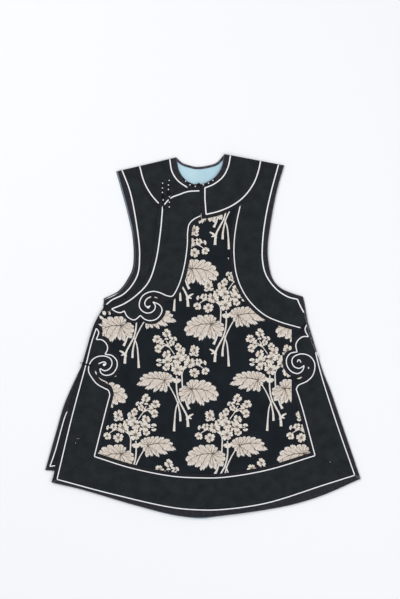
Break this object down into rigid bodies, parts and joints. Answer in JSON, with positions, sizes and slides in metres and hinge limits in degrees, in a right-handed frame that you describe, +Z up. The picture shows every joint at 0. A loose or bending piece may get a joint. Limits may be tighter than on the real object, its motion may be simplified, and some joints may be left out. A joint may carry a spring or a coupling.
{
  "type": "embroidered sleeveless jacket",
  "caption": "Long sleeveless side-closing jacket laid flat: floral brocade front with satin bands, cloud scrolls, cream piping and cord frogs.",
  "frame": {"origin": "middle of the underside, on the surface that the garment lies on", "axes": "+Y towards the neck, +X towards the wearer's left side, +Z up from the surface"},
  "size_m": [0.788, 0.911, 0.014],
  "materials": {
    "satin": "dark teal-grey satin, soft sheen",
    "brocade": "blue-black silk ground with cream flower bouquets",
    "edging": "warm grey woven edging with a fine hatch",
    "lining": "pale blue silk lining",
    "piping": "cream corded piping",
    "cord": "black silk cord with white stitched dots"
  },
  "bodies": {
    "root": {"back_panel": "satin", "back_lining": "lining", "back_neck_binding": "edging", "under_front_panel": "satin", "under_collar_band": "satin", "under_collar_edging": "edging", "under_armhole_band": "satin", "under_neck_binding": "edging", "under_armhole_binding": "edging", "under_side_band": "satin", "under_side_binding": "edging", "front_panel": "brocade", "collar_band": "satin", "overlap_band": "satin", "armhole_band": "satin", "left_side_band": "satin", "right_side_band": "satin", "hem_band": "satin", "neck_binding": "edging", "overlap_binding": "edging", "armhole_binding": "edging", "left_side_binding": "edging", "right_side_binding": "edging", "hem_binding": "edging", "collar_edging": "edging", "overlap_edging": "edging", "armhole_edging": "edging", "left_side_edging": "edging", "right_side_edging": "edging", "hem_edging": "edging", "under_neck_piping": "piping", "under_collar_piping": "piping", "under_armhole_piping": "piping", "under_side_piping": "piping", "collar_piping": "piping", "overlap_outer_piping": "piping", "overlap_scallop_piping": "piping", "overlap_inner_piping": "piping", "armhole_piping": "piping", "armhole_inner_piping": "piping", "left_side_piping": "piping", "left_scroll_piping": "piping", "left_inner_piping": "piping", "right_side_piping": "piping", "right_scroll_piping": "piping", "right_inner_piping": "piping", "hem_outer_piping": "piping", "hem_inner_piping": "piping", "overlap_scroll_curl": "piping", "left_scroll_curl": "piping", "right_scroll_curl": "piping", "neck_frog_knot": "cord", "neck_frog_loop": "cord", "overlap_left_frog_knot": "cord", "overlap_left_frog_loop": "cord", "overlap_right_frog_knot": "cord", "overlap_right_frog_loop": "cord", "side_frog": "cord"}
  },
  "joints": []
}
